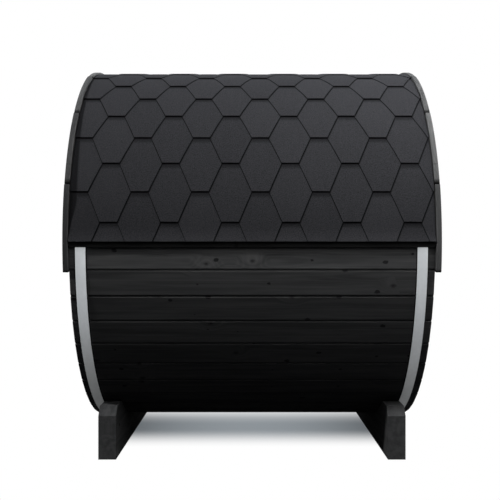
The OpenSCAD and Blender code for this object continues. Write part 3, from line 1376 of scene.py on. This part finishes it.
@dataclass
class Shingles:
    """Honeycomb shingles in lapped courses on both sides of the roof, with caps along the ridge."""

    barrel: Barrel
    first_row: float = math.radians(5.7)
    course: float = math.radians(8.482)
    eave: float = math.radians(0.34)
    period: float = 0.2928
    tab_shift: float = -0.1062
    tab_foot: float = 0.084
    thickness: float = 0.003
    bed_radius: float = 1.0132
    lap: float = 2.08
    first_course: int = -2
    tab_rows: int = 5
    body_rows: int = 5
    tab_columns: int = 4
    tab_lift: float = 0.0009
    tab_skew: float = 0.0006
    skew_lever: float = 6.0
    side_shift: float = 50.0
    ridge_half: float = 0.080
    cap_length: float = 0.300
    cap_seat: float = 0.62
    cap_rise: float = 1.2
    cap_columns: int = 8
    cap_rows: int = 2
    end_gap: float = 0.0035
    kick: float = 0.011
    kick_reach: float = math.radians(3.4)
    chance: random.Random = field(default_factory=lambda: random.Random(5))

    def course_length(self) -> float:
        """The height of a course along the roof."""
        return self.course * self.bed_radius

    def rows(self, low: float, high: float, count: int) -> list[float]:
        """Evenly spaced lines from low to high."""
        return [low + (high - low) * index / count for index in range(count + 1)]

    def tabs(self, number: int) -> list[float]:
        """The middles of a course's tabs.

        Args:
            number: the course's number.

        Returns:
            Their places along the barrel, from one end of the roof to the other.
        """
        shift = self.tab_shift + self.period / 2.0 * (number % 2)
        reach = self.barrel.half_length + self.period
        first = math.ceil((-reach - shift) / self.period)
        last = math.floor((reach - shift) / self.period)
        return [shift + self.period * index for index in range(first, last + 1)]

    def lines(self, number: int, height: float) -> list[list[float]]:
        """Where the columns of each tab cross a height.

        Args:
            number: the course's number.
            height: the height over the tabs' feet, in courses.

        Returns:
            For each tab, its places along the barrel, cut off at the roof's ends.
        """
        wide = self.period - self.tab_foot
        half = (self.tab_foot + (wide - self.tab_foot) * min(height, 1.0)) / 2.0
        end = self.barrel.half_length - self.end_gap
        lines = []
        for middle in self.tabs(number):
            columns = self.rows(middle - half, middle + half, self.tab_columns)
            lines.append([round(max(-end, min(end, x)), DECIMALS) for x in columns])
        return lines

    def cells(self, number: int) -> list[Cell]:
        """The cells of a course.

        Args:
            number: the course's number.

        Returns:
            The cells, in metres along the barrel and in courses up from the tabs' feet.
        """
        foot = self.first_row + self.course * number
        low = max(0.0, (self.eave - foot) / self.course)
        top = min(self.lap, (math.pi / 2.0 - foot) / self.course)
        heights = self.rows(low, 1.0, self.tab_rows) if low < 1.0 else []
        body = self.rows(max(low, 1.0), top, self.body_rows) if top > 1.0 else []
        cells: list[Cell] = []
        for start, end in zip(heights, heights[1:]):
            end = min(end, top)
            for lower, upper in zip(self.lines(number, start), self.lines(number, end)):
                self.add_row(cells, lower, upper, start, end)
        for start, end in zip(body, body[1:]):
            columns = sorted({x for line in self.lines(number, 1.0) for x in line})
            self.add_row(cells, columns, columns, start, end)
        return cells

    def add_row(
        self, cells: list[Cell], lower: list[float], upper: list[float], start: float, end: float
    ) -> None:
        """Adds a row of cells between two heights.

        Args:
            cells: the list that they go into.
            lower: the columns at the lower height.
            upper: the columns at the upper height.
            start: the lower height.
            end: the upper height.
        """
        if end - start < THINNEST_ROW:
            return
        foot, head = round(start, DECIMALS), round(end, DECIMALS)
        for low_pair, high_pair in zip(zip(lower, lower[1:]), zip(upper, upper[1:])):
            if min(low_pair[1] - low_pair[0], high_pair[1] - high_pair[0]) > THINNEST_COLUMN:
                cells.append((
                    (low_pair[0], foot), (low_pair[1], foot), (high_pair[1], head), (high_pair[0], head),
                ))

    def add_course(self, shape: Shape, number: int, side: float) -> None:
        """Adds one course on one side of the roof.

        Args:
            shape: the shape that it goes into.
            number: the course's number, from the first whole row of tabs.
            side: -1 on the left side of the roof, 1 on the right.
        """
        foot = self.first_row + self.course * number
        middles = self.tabs(number)
        tones = [self.chance.random() for _ in middles]
        lifts = [self.chance.uniform(0.0, self.tab_lift) for _ in middles]
        skew = [self.chance.uniform(-self.tab_skew, self.tab_skew) for _ in middles]
        low_rise = self.lap * self.thickness

        def skin(corner: Corner) -> tuple[Spot, Spot, float]:
            """Places a corner of the course on the roof.

            Args:
                corner: its place along the barrel, and its height in courses over the tabs' feet.

            Returns:
                Its point on the outer side, its point on the inner side and its tone.
            """
            x, height = corner
            tab = min(range(len(middles)), key=lambda index: abs(middles[index] - x))
            turn = foot + self.course * height
            loose = max(0.0, 1.0 - height) ** 2
            radius = self.bed_radius + low_rise * (1.0 - height / self.lap) + loose * lifts[tab]
            radius += self.kick * max(0.0, 1.0 - (turn - self.eave) / self.kick_reach) ** 2
            turn += loose * skew[tab] * (x - middles[tab]) * self.skew_lever
            angle = turn if side > 0 else math.pi - turn
            layer = number + self.side_shift * side
            grain = Vector((x - middles[0], height * self.course_length(), layer))
            top = Spot(self.barrel.on(x, radius + self.thickness, angle), grain)
            return top, Spot(self.barrel.on(x, radius, angle), grain), tones[tab]

        shape.add_sheet(self.cells(number), skin)

    def add_cap(self, shape: Shape, start: float, end: float) -> None:
        """Adds one cap over the ridge.

        Args:
            shape: the shape that it goes into.
            start: where the cap starts along the barrel.
            end: where it ends, under the next cap.
        """
        half = self.ridge_half / self.bed_radius
        across = self.rows(math.pi / 2.0 - half, math.pi / 2.0 + half, self.cap_columns)
        along = self.rows(start, end, self.cap_rows)
        tone = self.chance.random()
        base = self.bed_radius + self.lap * self.thickness * self.cap_seat

        def skin(corner: Corner) -> tuple[Spot, Spot, float]:
            """Places a corner of the cap on the ridge.

            Args:
                corner: its place along the barrel, and its angle upward from the +Y side.

            Returns:
                Its point on the outer side, its point on the inner side and its tone.
            """
            x, turn = corner
            radius = base + self.thickness * self.cap_rise * (end - x) / (end - start)
            grain = Vector((x, (turn - math.pi / 2.0) * self.bed_radius, start))
            top = Spot(self.barrel.on(x, radius + self.thickness, turn), grain)
            return top, Spot(self.barrel.on(x, radius, turn), grain), tone

        cells = []
        for left, right in zip(along, along[1:]):
            for low, high in zip(across, across[1:]):
                cells.append(((left, low), (right, low), (right, high), (left, high)))
        shape.add_sheet(cells, skin)

    def build(self, felt: bpy.types.Material) -> None:
        """Makes the shingles of both sides and the caps of the ridge.

        Args:
            felt: their finish.
        """
        last = math.floor((math.pi / 2.0 - self.first_row) / self.course)
        for side, node in ((-1.0, "left_shingles"), (1.0, "right_shingles")):
            shape = Shape()
            for number in range(self.first_course, last + 1):
                self.add_course(shape, number, side)
            shape.publish(f"{node}_felt", felt, Slot.FELT, node)
        shape = Shape()
        end = self.barrel.half_length
        count = round(2.0 * end / (self.cap_length / 2.0))
        step = 2.0 * end / count
        for index in range(count):
            start = -end + step * index
            self.add_cap(shape, start, min(end, start + 2.0 * step))
        shape.publish("ridge_strip_felt", felt, Slot.FELT, "ridge_strip")


@dataclass
class Roof:
    """The eave battens and the boards under the shingles."""

    barrel: Barrel
    thickness: float = 0.010
    round_edge: float = 0.0015
    foot_drop: float = 0.0015
    pith_aside: float = 0.03
    pith_below: float = 0.04
    chance: random.Random = field(default_factory=lambda: random.Random(41))

    def build(self, tarred_and_shaded: bpy.types.Material, board: bpy.types.Material) -> None:
        """Makes the battens and dresses the boards.

        Args:
            tarred_and_shaded: the battens' finish, near black: partly their tar, partly painted shade
                under the eave.
            board: the boards' finish.
        """
        low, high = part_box("eave_battens")
        half = self.thickness / 2
        foot = low.z - self.foot_drop
        outline = rectangle((-half, foot), (half, high.z), self.round_edge)
        pith = (self.pith_aside, self.barrel.axis.z - self.pith_below)
        shape = Shape()
        for side in (-1.0, 1.0):
            place = basis(Vector((0.0, side * (high.y - half), 0.0)), X, Y, Z)
            batten = Stock(outline, high.x - low.x, place, pith=pith, ease=self.round_edge)
            batten.add_to(shape, self.chance.random())
        shape.publish("eave_battens_wood", tarred_and_shaded, Slot.WOOD, "eave_battens")
        for node in ("left_roof_boards", "right_roof_boards"):
            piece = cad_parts[node]
            piece.data.materials.clear()
            piece.data.materials.append(board)
            log.info("%s: dressed", node)


@dataclass
class EndWalls:
    """Walls of upright boards that close the barrel's ends."""

    barrel: Barrel
    board_width: float = 0.120
    bevel: float = 0.004
    arc_points: int = 6
    stave_gap: float = 0.0004
    edge_gap: float = 0.002
    frame_gap: float = 0.0002
    pith: PithRange = PithRange((-0.04, 0.04), (-0.09, -0.05))
    chance: random.Random = field(default_factory=lambda: random.Random(53))

    def reach(self, y: float) -> float:
        """The half height of the wall's round outline at a place across it."""
        radius = self.barrel.inner_radius - self.stave_gap
        return math.sqrt(max(radius * radius - y * y, 0.0))

    def board_outline(
        self, left: float, right: float, low: Optional[float], high: Optional[float]
    ) -> Outline:
        """The face of one upright board.

        Args:
            left: its left edge.
            right: its right edge.
            low: its lower end over the axis, or None where it ends at the staves.
            high: its upper end over the axis, or None where it ends at the staves.

        Returns:
            The outline, anticlockwise.
        """
        width = right - left
        across = [left + width * point / self.arc_points for point in range(self.arc_points + 1)]
        foot = [(y, -self.reach(y)) for y in across] if low is None else [(left, low), (right, low)]
        head = [(y, self.reach(y)) for y in across] if high is None else [(left, high), (right, high)]
        return [(y, z, 0.0) for y, z in foot + head[::-1]]

    def add_boards(
        self, shape: Shape, node: str, left: float, right: float,
        low: Optional[float] = None, high: Optional[float] = None,
    ) -> None:
        """Adds a stretch of wall.

        Args:
            shape: the shape that it goes into.
            node: the node whose thickness it has.
            left: its left edge.
            right: its right edge.
            low: its lower end over the axis, or None where it ends at the staves.
            high: its upper end over the axis, or None where it ends at the staves.
        """
        near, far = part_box(node)
        place = basis(Vector(((near.x + far.x) / 2.0, 0.0, self.barrel.axis.z)), X, Y, Z)
        count = max(1, round((right - left) / self.board_width))
        for index in range(count):
            start = left + (right - left) * index / count
            end = left + (right - left) * (index + 1) / count
            outline = self.board_outline(start, end, low, high)
            pith = self.pith.draw(self.chance, (start + end) / 2.0)
            board = Stock(outline, far.x - near.x, place, Run.SECOND, pith, self.bevel)
            board.add_to(shape, self.chance.random())

    def build(self, wood: bpy.types.Material) -> None:
        """Makes the closed wall, and the wall round the doorway.

        Args:
            wood: their finish.
        """
        edge = self.barrel.inner_radius - self.edge_gap
        shape = Shape()
        self.add_boards(shape, "rear_wall", -edge, edge)
        shape.publish("rear_wall_boards", wood, Slot.WOOD, "rear_wall")
        low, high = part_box("door_frame")
        lowest, highest = low.z - self.barrel.axis.z, high.z - self.barrel.axis.z
        stretches = {
            "front_wall_left": (-edge, low.y - self.frame_gap, None, None),
            "front_wall_right": (high.y + self.frame_gap, edge, None, None),
            "front_wall_head": (low.y, high.y, highest + self.frame_gap, None),
            "front_wall_foot": (low.y, high.y, None, lowest - self.frame_gap),
        }
        for node, (left, right, foot, head) in stretches.items():
            shape = Shape()
            self.add_boards(shape, node, left, right, foot, head)
            shape.publish(f"{node}_boards", wood, Slot.WOOD, node)


@dataclass
class Door:
    """A plank leaf in a squared frame."""

    frame_width: float = 0.045
    frame_gap: float = 0.0002
    frame_bevel: float = 0.003
    board_count: int = 5
    board_joint: float = 0.0006
    board_bevel: float = 0.004
    pith: PithRange = PithRange((-0.03, 0.03), (-0.09, -0.05))
    chance: random.Random = field(default_factory=lambda: random.Random(67))

    def add_timber(self, shape: Shape, low: Vector, high: Vector, run: Run, bevel: float) -> None:
        """Adds a squared timber whose outline faces along the barrel.

        Args:
            shape: the shape that it goes into.
            low: its lowest corner.
            high: its highest corner.
            run: the way of its grain.
            bevel: how far its edges are eased.
        """
        place = basis(Vector(((low.x + high.x) / 2.0, 0.0, 0.0)), X, Y, Z)
        middle = (low.y + high.y) / 2.0 if run is Run.SECOND else (low.z + high.z) / 2.0
        pith = self.pith.draw(self.chance, middle)
        outline = rectangle((low.y, low.z), (high.y, high.z), 0.0)
        timber = Stock(outline, high.x - low.x, place, run, pith, bevel)
        timber.add_to(shape, self.chance.random())

    def build_frame(self, wood: bpy.types.Material) -> None:
        """Makes the frame of two uprights with a rail between them at either end.

        Args:
            wood: its finish.
        """
        low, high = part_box("door_frame")
        wide = self.frame_width
        inset_by = wide + self.frame_gap
        shape = Shape()
        for left, right in ((low.y, low.y + wide), (high.y - wide, high.y)):
            near, far = Vector((low.x, left, low.z)), Vector((high.x, right, high.z))
            self.add_timber(shape, near, far, Run.SECOND, self.frame_bevel)
        for foot, head in ((low.z, low.z + wide), (high.z - wide, high.z)):
            near = Vector((low.x, low.y + inset_by, foot))
            far = Vector((high.x, high.y - inset_by, head))
            self.add_timber(shape, near, far, Run.FIRST, self.frame_bevel)
        shape.publish("door_frame_timber", wood, Slot.WOOD, "door_frame")

    def build_leaf(self, wood: bpy.types.Material) -> None:
        """Makes the leaf of upright boards.

        Args:
            wood: its finish.
        """
        low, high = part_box("door_leaf")
        shape = Shape()
        for index in range(self.board_count):
            left = low.y + (high.y - low.y) * index / self.board_count + self.board_joint / 2.0
            right = low.y + (high.y - low.y) * (index + 1) / self.board_count - self.board_joint / 2.0
            near, far = Vector((low.x, left, low.z)), Vector((high.x, right, high.z))
            self.add_timber(shape, near, far, Run.SECOND, self.board_bevel)
        shape.publish("door_leaf_boards", wood, Slot.WOOD, "door_leaf")

    def build(self, wood: bpy.types.Material) -> None:
        """Makes the frame and the leaf."""
        self.build_frame(wood)
        self.build_leaf(wood)


@dataclass
class Hinges:
    """Two strap hinges with their plates, knuckles and bolts."""

    strap_width: float = 0.040
    strap_thickness: float = 0.004
    strap_ease: float = 0.0008
    tip_length: float = 0.05
    tip_share: float = 0.72
    tip_round: float = 0.7
    tip_bend: float = 0.02
    tip_steps: int = 5
    plate_corner: float = 0.006
    pivot_gap: float = 0.003
    knuckle_radius: float = 0.0075
    knuckle_points: int = 24
    knuckle_lift: float = 0.0005
    knuckle_ease: float = 0.0015
    bolt_radius: float = 0.0075
    bolt_points: int = 16
    bolt_height: float = 0.005
    bolt_ease: float = 0.0024
    bolt_steps: int = 4
    strap_bolts: Span = (0.05, 0.15)
    tip_bolt: float = 0.03
    plate_bolt: float = 0.018
    plate_bolt_rise: float = 1.4

    def strap_outline(self, pivot: float, tip: float) -> Outline:
        """The face of a strap, which narrows to a round tip.

        Args:
            pivot: where it starts, at the knuckle.
            tip: where it ends.

        Returns:
            The outline, anticlockwise.
        """
        half = self.strap_width / 2.0
        narrow = half * self.tip_share
        neck = tip - self.tip_length
        corners = [
            (pivot, -half), (neck, -narrow), (tip, -narrow), (tip, narrow), (neck, narrow), (pivot, half),
        ]
        end = half * self.tip_round
        return rounded(corners, [0.0, self.tip_bend, end, end, self.tip_bend, 0.0], self.tip_steps)

    def bolts(self, plate: float, pivot: float, tip: float) -> list[Corner]:
        """Where a hinge's bolts sit, across the door and up from the hinge's middle.

        Args:
            plate: the plate's free edge.
            pivot: the knuckle's place.
            tip: the strap's end.

        Returns:
            The bolts' places.
        """
        rise = self.strap_width / 2.0 * self.plate_bolt_rise
        along = [pivot + far for far in self.strap_bolts] + [tip - self.tip_bolt]
        aside = plate + self.plate_bolt
        return [(y, 0.0) for y in along] + [(aside, -rise), (aside, rise)]

    def build(self, iron: bpy.types.Material) -> None:
        """Makes both hinges.

        Args:
            iron: their finish.
        """
        low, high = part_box("door_hinges")
        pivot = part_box("door_leaf")[0].y - self.pivot_gap
        plate_half = self.strap_width
        strap = self.strap_outline(pivot, high.y)
        plate = rectangle((low.y, -plate_half), (pivot, plate_half), self.plate_corner)
        knuckle = circle(self.knuckle_radius, self.knuckle_points)
        bolt = circle(self.bolt_radius, self.bolt_points)
        shape = Shape()
        for middle in (low.z + self.strap_width, high.z - self.strap_width):
            face = basis(Vector((low.x + self.strap_thickness / 2.0, 0.0, middle)), X, Y, Z)
            pivot_place = basis(Vector((low.x + self.knuckle_lift, pivot, middle)), Z, X, Y)
            pieces = [
                Stock(outline, self.strap_thickness, face, Run.FIRST, ease=self.strap_ease)
                for outline in (strap, plate)
            ]
            pieces.append(Stock(knuckle, 2 * plate_half, pivot_place, ease=self.knuckle_ease))
            for y, z in self.bolts(low.y, pivot, high.y):
                head = basis(Vector((low.x + self.strap_thickness, y, middle + z)), X, Y, Z)
                pieces.append(Stock(
                    bolt, self.bolt_height, head, ease=self.bolt_ease, ease_steps=self.bolt_steps
                ))
            for piece in pieces:
                piece.add_to(shape, PLAIN_TONE)
        shape.publish("door_hinges_iron", iron, Slot.IRON, "door_hinges")


@dataclass
class Handle:
    """A round wooden bar on two posts."""

    chance: random.Random
    bar_radius: float = 0.014
    bar_points: int = 28
    bar_ease: float = 0.006
    bar_steps: int = 5
    post_radius: float = 0.009
    post_points: int = 20
    post_inset: float = 0.05
    pith: Corner = (0.02, 0.03)

    def build(self, wood: bpy.types.Material) -> None:
        """Makes the bar and its posts.

        Args:
            wood: their finish.
        """
        low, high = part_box("door_handle")
        middle = (low.y + high.y) / 2.0
        bar_x = high.x - self.bar_radius
        bar_place = basis(Vector((bar_x, middle, (low.z + high.z) / 2.0)), Z, X, Y)
        bar = Stock(
            circle(self.bar_radius, self.bar_points), high.z - low.z, bar_place,
            pith=self.pith, ease=self.bar_ease, ease_steps=self.bar_steps,
        )
        shape = Shape()
        bar.add_to(shape, self.chance.random())
        for z in (low.z + self.post_inset, high.z - self.post_inset):
            place = basis(Vector(((low.x + bar_x) / 2.0, middle, z)), X, Y, Z)
            post = Stock(circle(self.post_radius, self.post_points), bar_x - low.x, place, pith=self.pith)
            post.add_to(shape, self.chance.random())
        shape.publish("door_handle_wood", wood, Slot.WOOD, "door_handle")


@dataclass(frozen=True)
class Lamp:
    """A square softbox that faces a point."""

    name: str
    place: tuple[float, float, float]
    side: float
    power: float
    colour: Colour = WHITE
    target: tuple[float, float, float] = (0.0, 0.0, 1.2)

    def build(self) -> None:
        """Hangs the softbox."""
        data = bpy.data.lights.new(self.name, "AREA")
        data.shape = "SQUARE"
        data.size = self.side
        data.energy = self.power
        data.color = self.colour
        lamp = bpy.data.objects.new(self.name, data)
        bpy.context.scene.collection.objects.link(lamp)
        lamp.location = self.place
        aim = Vector(self.target) - Vector(self.place)
        lamp.rotation_euler = aim.to_track_quat("-Z", "Y").to_euler()


@dataclass
class Studio:
    """The floor, the lamps, the surrounding light and the camera.

    The floor's reflected colours are given far from the barrel and beside it. white_squares holds the
    squares of the distances over which the floor turns to plain white.
    """

    barrel: Barrel
    focal_pixels: float = 776.3
    distance: float = 4.7465
    drop: float = 0.0588
    aside: float = -0.0101
    horizon_below_middle: float = 5.0
    ambient: Colour = (0.003, 0.003, 0.0032)
    floor_left: tuple[Colour, Colour] = ((0.90, 0.90, 0.91), (0.44, 0.43, 0.415))
    floor_right: tuple[Colour, Colour] = ((0.63, 0.63, 0.64), (0.36, 0.35, 0.342))
    floor_shown: Colour = (0.80, 0.80, 0.80)
    floor_glow: Colour = (0.265, 0.292, 0.314)
    floor_bounce: Colour = (0.03, 0.03, 0.032)
    floor_reach: float = 30.0
    floor_depth: float = 0.0005
    near_band: Span = (-2.2, -0.5)
    side_band: Span = (-0.9, 0.9)
    glow_fall: float = 0.95
    glow_loss: float = 0.7
    shadow_front: Span = (0.0, 0.47)
    shadow_back: Span = (0.12, 0.9)
    shadow_side: Span = (0.715, 0.79)
    white_squares: Span = (5.0, 16.0)
    lamps: tuple[Lamp, ...] = (
        Lamp("key_lamp", (-10.28, -5.2, 9.6), 0.7, 903.0),
        Lamp("left_lamp", (-11.0, -0.95, 5.6), 1.2, 310.0, COOL),
        Lamp("front_softbox", (0.0, -3.8, 4.1), 2.5, 24.3),
        Lamp("right_front_softbox", (2.4, -3.4, 2.8), 1.8, 18.3),
        Lamp("right_softbox", (1.9, -2.1, 3.5), 1.2, 30.4),
        Lamp("right_near_softbox", (2.3, -1.4, 2.9), 1.0, 18.9),
        Lamp("right_lamp", (4.6, -1.0, 2.6), 1.5, 54.0),
        Lamp("right_top_softbox", (2.6, 0.3, 4.6), 2.0, 63.0, COOL),
        Lamp("back_softbox", (0.0, 2.6, 4.9), 3.0, 105.0, COOL),
    )

    def seen(self, graph: Graph) -> Value:
        """Picks out the rays that show the background: from the camera, a reflection or glass.

        Args:
            graph: the graph of the floor or of the world.

        Returns:
            One for those rays, and zero for the others.
        """
        path = graph.node("ShaderNodeLightPath", {}, {})
        camera = Value(graph, path.outputs["Is Camera Ray"])
        mirrored = camera.at_least(Value(graph, path.outputs["Is Glossy Ray"]))
        return mirrored.at_least(Value(graph, path.outputs["Is Transmission Ray"]))

    def diffuse(self, graph: Graph, colour: Colour) -> Value:
        """A matt shader of one colour."""
        return graph.out("ShaderNodeBsdfDiffuse", {}, {"Color": (*colour, 1.0)})

    def floor_finish(self) -> bpy.types.Material:
        """Makes the floor's finish: white to the camera but for the shadow under the barrel.

        Reflections see it in a grey that falls off to the right and towards the barrel.

        Returns:
            The material.
        """
        graph, material = Graph.of_material("studio_floor")
        seen = self.seen(graph)
        camera = graph.out("ShaderNodeLightPath", {}, {}, "Is Camera Ray")
        x, y, _ = graph.split(graph.out("ShaderNodeTexCoord", {}, {}, "Object"))
        # Reflections see painted shade: a grey floor that darkens towards the barrel and to the right.
        close = y.rise(*self.near_band)
        sides = []
        for away, beside in (self.floor_left, self.floor_right):
            sides.append(graph.blend(close, self.diffuse(graph, away), self.diffuse(graph, beside)))
        reflected = graph.blend(x.rise(*self.side_band), sides[0], sides[1])
        # The glow is painted light that lifts the shadow under the barrel; it dims towards the cradles as
        # painted shade.
        dim = graph.mix((x * x * self.glow_fall).at_most(self.glow_loss), self.floor_glow, BLACK)
        glow = graph.out("ShaderNodeEmission", {}, {"Color": dim})
        white = graph.out("ShaderNodeEmission", {}, {"Strength": 1.0})
        shaded = graph.out("ShaderNodeAddShader", {}, {0: self.diffuse(graph, self.floor_shown), 1: glow})
        clear = (-y).rise(*self.shadow_front).at_least(y.rise(*self.shadow_back))
        clear = clear.at_least(x.size().rise(*self.shadow_side))
        near = graph.blend(camera, reflected, graph.blend(clear, shaded, white))
        shown = graph.blend((x * x + y * y).rise(*self.white_squares), near, white)
        surface = graph.blend(seen, self.diffuse(graph, self.floor_bounce), shown)
        graph.node("ShaderNodeOutputMaterial", {}, {"Surface": surface})
        return material

    def build_floor(self) -> None:
        """Lays the floor just under the cradles."""
        mesh = bpy.data.meshes.new("floor")
        corners = [(across, along, 0.0) for across, along in ((-1, -1), (1, -1), (1, 1), (-1, 1))]
        mesh.from_pydata([Vector(corner) * self.floor_reach for corner in corners], [], [(0, 1, 2, 3)])
        mesh.materials.append(self.floor_finish())
        floor = bpy.data.objects.new("floor", mesh)
        floor.location.z = -self.floor_depth
        bpy.context.scene.collection.objects.link(floor)

    def build_world(self) -> None:
        """Sets an even dim light all round, and white where the background shows."""
        world = bpy.data.worlds.new("studio")
        bpy.context.scene.world = world
        world.use_nodes = True
        graph = Graph(world.node_tree)
        colour = graph.mix(self.seen(graph), self.ambient, WHITE)
        light = graph.node("ShaderNodeBackground", {}, {"Color": colour, "Strength": 1.0})
        graph.node("ShaderNodeOutputWorld", {}, {"Surface": light.outputs[0]})

    def build_camera(self) -> None:
        """Sets the camera level, a little below the barrel's axis."""
        data = bpy.data.cameras.new("camera")
        data.sensor_width = SENSOR_WIDTH
        data.lens = self.focal_pixels / PHOTO_SIDE * SENSOR_WIDTH
        data.shift_y = self.horizon_below_middle / PHOTO_SIDE
        camera = bpy.data.objects.new("camera", data)
        camera.location = (self.aside, -self.distance, self.barrel.axis.z - self.drop)
        camera.rotation_euler = (math.pi / 2.0, 0.0, 0.0)
        bpy.context.scene.collection.objects.link(camera)
        bpy.context.scene.camera = camera

    def build(self) -> None:
        """Makes the whole studio."""
        bpy.context.scene.view_settings.view_transform = "Standard"
        self.build_floor()
        self.build_world()
        self.build_camera()
        for lamp in self.lamps:
            lamp.build()


def main() -> None:
    """Builds the sauna's pieces and the studio."""
    logging.basicConfig(level=logging.INFO, format="%(name)s %(message)s")
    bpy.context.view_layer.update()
    barrel = Barrel()
    wood = StainedWood().build()
    # A near-black copy of the stain for the eave battens: partly their tar, partly painted shade under
    # the eave.
    tarred_and_shaded = StainedWood(
        "tarred_and_shaded_wood", deep=(0.018, 0.018, 0.018), pale=(0.036, 0.036, 0.036), worn=(0.039, 0.039, 0.039)
    ).build()
    # A paler copy of the stain for the trims, with paler worn edges; the paleness is partly painted light
    # for the bright light on their rims.
    trim_finish_painted_light = StainedWood(
        "trim_wood_painted_light", deep=(0.105, 0.106, 0.107), pale=(0.231, 0.232, 0.233), worn=(0.27, 0.27, 0.268),
        spread=0.75,
    ).build()
    shingles = Shingles(barrel)
    felt = ShingleFelt(
        shingles.period, shingles.tab_foot, shingles.course_length(), barrel.half_length
    ).build()
    steel = ZincStrip().build()
    iron = BlackIron().build()
    board = TarredBoard().build()
    Studio(barrel).build()
    Staves(barrel).build(wood)
    Hoops(barrel).build(steel)
    Cradles(barrel).build(wood)
    EndWalls(barrel).build(wood)
    door = Door()
    door.build(wood)
    Hinges().build(iron)
    Handle(door.chance).build(wood)
    Roof(barrel).build(tarred_and_shaded, board)
    shingles.build(felt)
    Trims(barrel).build(trim_finish_painted_light)


if __name__ == "__main__":
    main()
